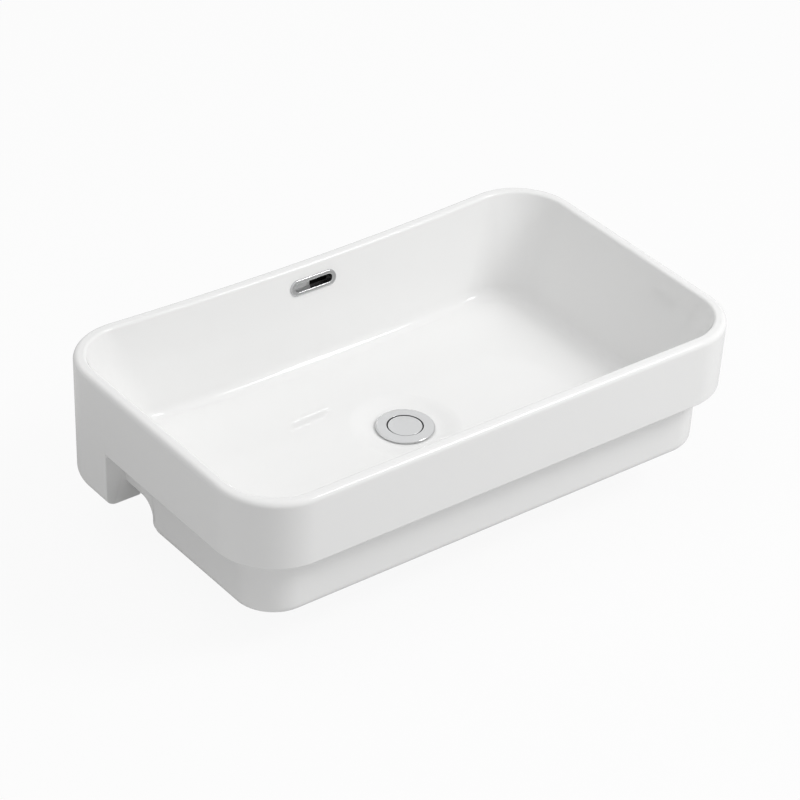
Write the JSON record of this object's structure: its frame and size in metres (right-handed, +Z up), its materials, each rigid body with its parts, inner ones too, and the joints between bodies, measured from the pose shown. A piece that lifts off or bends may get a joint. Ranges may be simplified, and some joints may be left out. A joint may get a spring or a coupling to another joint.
{
  "type": "semi recessed basin",
  "caption": "Shallow oblong ceramic basin with round corners, a deep band round the rim, an inset tub, a skirt on one long side, an overflow slot and a push-to-open waste.",
  "frame": {"origin": "centre of the basin in plan, on the plane of the worktop that the underside of the band rests on", "axes": "+Z up, +X along the length, +Y towards the long side with the skirt; the picture looks from the other long side and the left"},
  "size_m": [0.5998, 0.3547, 0.1952],
  "materials": {
    "glaze": "gloss",
    "chrome": "polished",
    "brass": "turned",
    "steel": "drawn wire",
    "black_rubber": "matt",
    "clear_seal": "matt",
    "white_plastic": "moulded"
  },
  "bodies": {
    "basin": {"basin_body": "glaze", "overflow_trim": "chrome", "overflow_seal": "black_rubber", "waste_body": "chrome", "flange_seal": "clear_seal", "cartridge_sleeve": "brass", "cartridge_base": "brass", "plug_spring": "steel", "taper_washer": "black_rubber", "slip_washer": "white_plastic", "back_nut": "chrome"},
    "plug": {"plug_cap": "chrome", "plug_seal": "black_rubber", "plug_stem": "brass"},
    "index": {"index_ring": "white_plastic"}
  },
  "joints": [
    {"name": "plug_slide", "type": "slide", "parent": "basin", "child": "plug", "axis": [0, 0, 1], "range_m": [-0.0015, 0.009], "deforming": ["plug_spring"]},
    {"name": "index_turn", "type": "hinge", "parent": "plug", "child": "index", "pos_m": [0, -0.007, -0.056], "axis": [0, 0, 1], "continuous": true}
  ]
}
